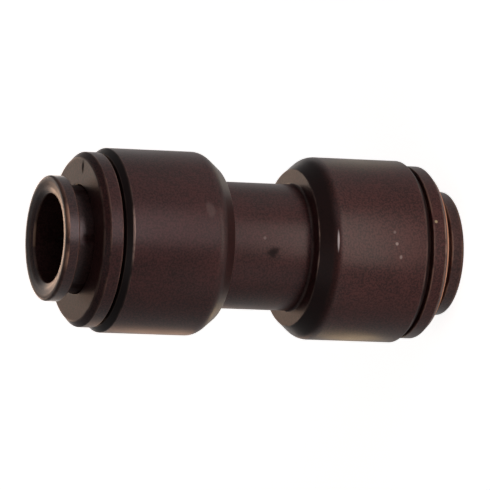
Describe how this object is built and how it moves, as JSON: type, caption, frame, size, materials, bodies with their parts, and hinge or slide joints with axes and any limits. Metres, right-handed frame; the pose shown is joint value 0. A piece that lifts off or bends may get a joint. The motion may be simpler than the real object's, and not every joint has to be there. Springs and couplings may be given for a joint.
{
  "type": "push-in straight tube connector",
  "caption": "Dumbbell-shaped plastic push-in connector: a slim neck between two round heads, each with an end cap and a flanged release collet that grips and seals a tube.",
  "frame": {"origin": "on the tube axis, at the outer face of the lower collet's flange, which the part stands on", "axes": "+Z along the tube axis, from the lower collet to the upper one; +X and +Y across it"},
  "size_m": [0.0252, 0.0252, 0.0586],
  "materials": {
    "body_plastic": "satin brown-black acetal",
    "cap_plastic": "satin brown-black acetal",
    "collet_plastic": "satin brown-black acetal",
    "spacer_plastic": "matt black plastic",
    "seal_rubber": "matt black nitrile rubber",
    "tooth_steel": "rolled stainless strip"
  },
  "bodies": {
    "housing": {"body": "body_plastic", "upper_o_ring": "seal_rubber", "upper_spacer_ring": "spacer_plastic", "upper_end_cap": "cap_plastic", "lower_o_ring": "seal_rubber", "lower_spacer_ring": "spacer_plastic", "lower_end_cap": "cap_plastic"},
    "upper_release_collet": {"upper_collet": "collet_plastic", "upper_grip_tooth_1": "tooth_steel", "upper_grip_tooth_2": "tooth_steel", "upper_grip_tooth_3": "tooth_steel", "upper_grip_tooth_4": "tooth_steel", "upper_grip_tooth_5": "tooth_steel", "upper_grip_tooth_6": "tooth_steel"},
    "lower_release_collet": {"lower_collet": "collet_plastic", "lower_grip_tooth_1": "tooth_steel", "lower_grip_tooth_2": "tooth_steel", "lower_grip_tooth_3": "tooth_steel", "lower_grip_tooth_4": "tooth_steel", "lower_grip_tooth_5": "tooth_steel", "lower_grip_tooth_6": "tooth_steel"}
  },
  "joints": [
    {"name": "upper_collet_slide", "type": "slide", "parent": "housing", "child": "upper_release_collet", "axis": [0, 0, -1], "range_m": [0, 0.0024]},
    {"name": "lower_collet_slide", "type": "slide", "parent": "housing", "child": "lower_release_collet", "axis": [0, 0, 1], "range_m": [-0.00085, 0.00155]}
  ]
}
